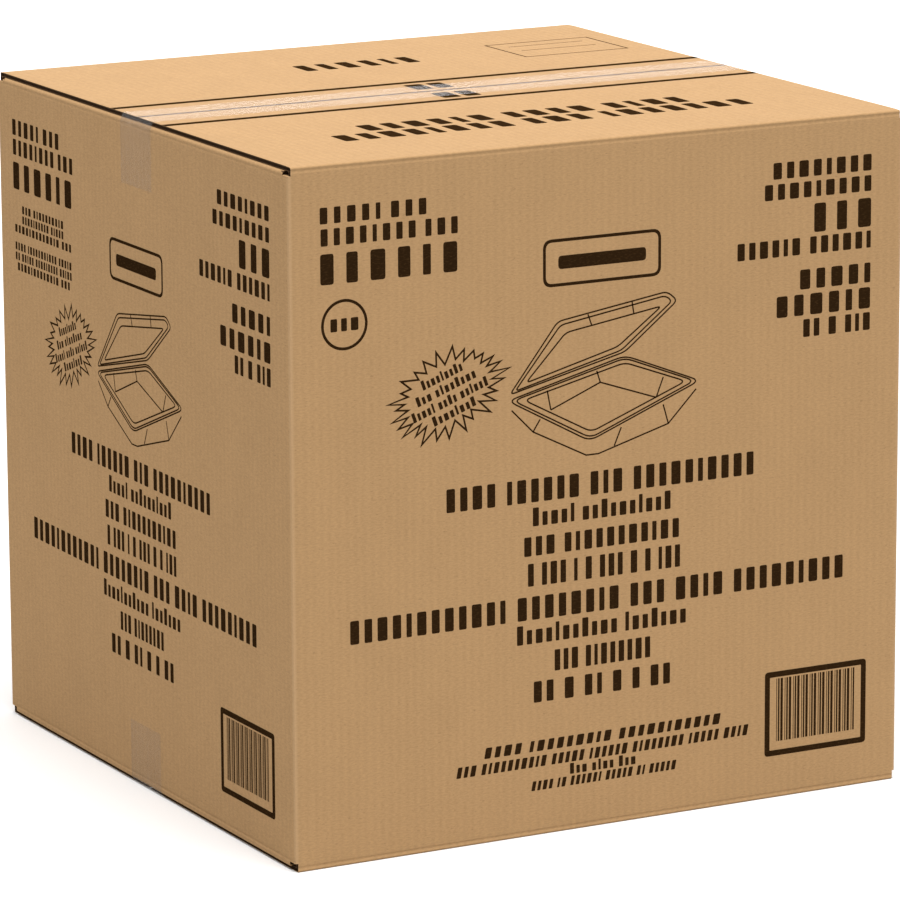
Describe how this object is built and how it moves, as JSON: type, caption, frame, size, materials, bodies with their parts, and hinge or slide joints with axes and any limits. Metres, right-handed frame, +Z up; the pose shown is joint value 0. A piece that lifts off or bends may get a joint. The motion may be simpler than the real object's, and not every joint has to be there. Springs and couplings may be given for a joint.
{
  "type": "corrugated shipping carton",
  "caption": "Sealed, nearly cubic shipping carton folded from one sheet of corrugated board, with flaps meeting in centre seams held by clear tape.",
  "frame": {"origin": "centre of the base, on the plane that the carton stands on", "axes": "+Z up, -Y out of the large printed front panel, X along the taped seams"},
  "size_m": [0.4952, 0.489, 0.5002],
  "materials": {
    "kraft_board": "uncoated kraft liner, matt",
    "clear_tape": "clear film, glossy",
    "print_ink": "dark brown flexographic ink, matt"
  },
  "bodies": {
    "root": {"carton": "kraft_board", "top_tape": "clear_tape", "bottom_tape": "clear_tape"}
  },
  "joints": []
}
